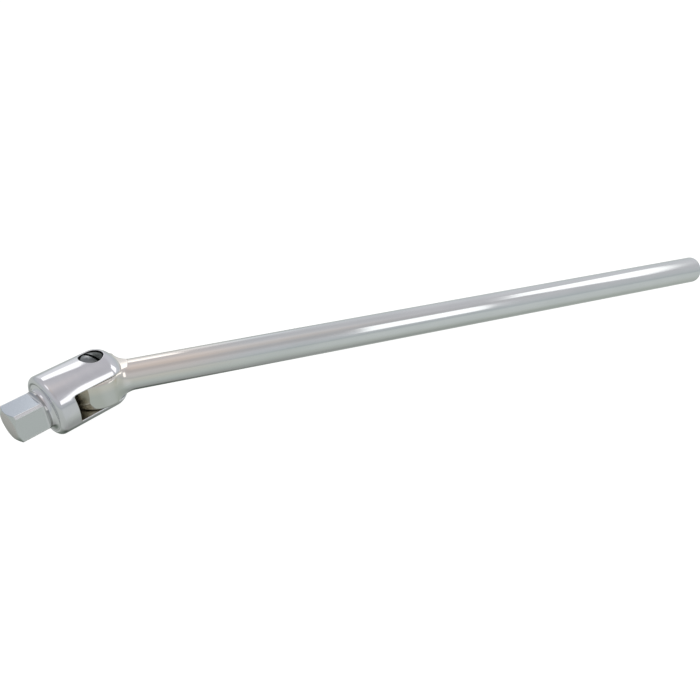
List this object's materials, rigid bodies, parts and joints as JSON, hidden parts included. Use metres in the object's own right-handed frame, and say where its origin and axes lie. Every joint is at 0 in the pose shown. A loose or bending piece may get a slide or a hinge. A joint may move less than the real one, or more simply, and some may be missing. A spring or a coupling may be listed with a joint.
{
  "type": "breaker bar",
  "caption": "Long round steel breaker bar: a forked head with a square drive hinges on the flattened end of the handle about a slotted pivot screw.",
  "frame": {"origin": "centre of the flat face at the handle's free end", "axes": "+X along the handle and out of its free end, +Z along the hinge axis and out of the screw's slotted head, +Y = Z x X; at rest the head is turned 31.5 degrees out of line towards -Y"},
  "size_m": [0.5413, 0.0583, 0.04],
  "materials": {
    "handle": "satin chrome plate, drawn along the bar",
    "head": "polished chrome plate, satin on the square drive and inside the fork",
    "screw": "black oxide",
    "ball": "polished hardened steel",
    "spring": "drawn spring wire"
  },
  "bodies": {
    "handle": {"handle_bar": "handle", "detent_spring": "spring"},
    "detent": {"detent_ball": "ball"},
    "head": {"drive_head": "head", "pivot_screw": "screw", "socket_spring": "spring"},
    "retainer": {"socket_ball": "ball"}
  },
  "joints": [
    {"name": "head_hinge", "type": "hinge", "parent": "handle", "child": "head", "pos_m": [-0.487, 0, 0], "axis": [0, 0, 1], "range_deg": [-121.5, 58.5]},
    {"name": "detent_slide", "type": "slide", "parent": "handle", "child": "detent", "axis": [0, 0, -1], "range_m": [0, 0.0008], "stiffness_N_per_m": 8000, "springref_m": -0.0015, "deforming": ["detent_spring"]},
    {"name": "retainer_slide", "type": "slide", "parent": "head", "child": "retainer", "axis": [0, 0, 1], "range_m": [0, 0.0011], "stiffness_N_per_m": 4000, "springref_m": -0.002, "deforming": ["socket_spring"]}
  ]
}
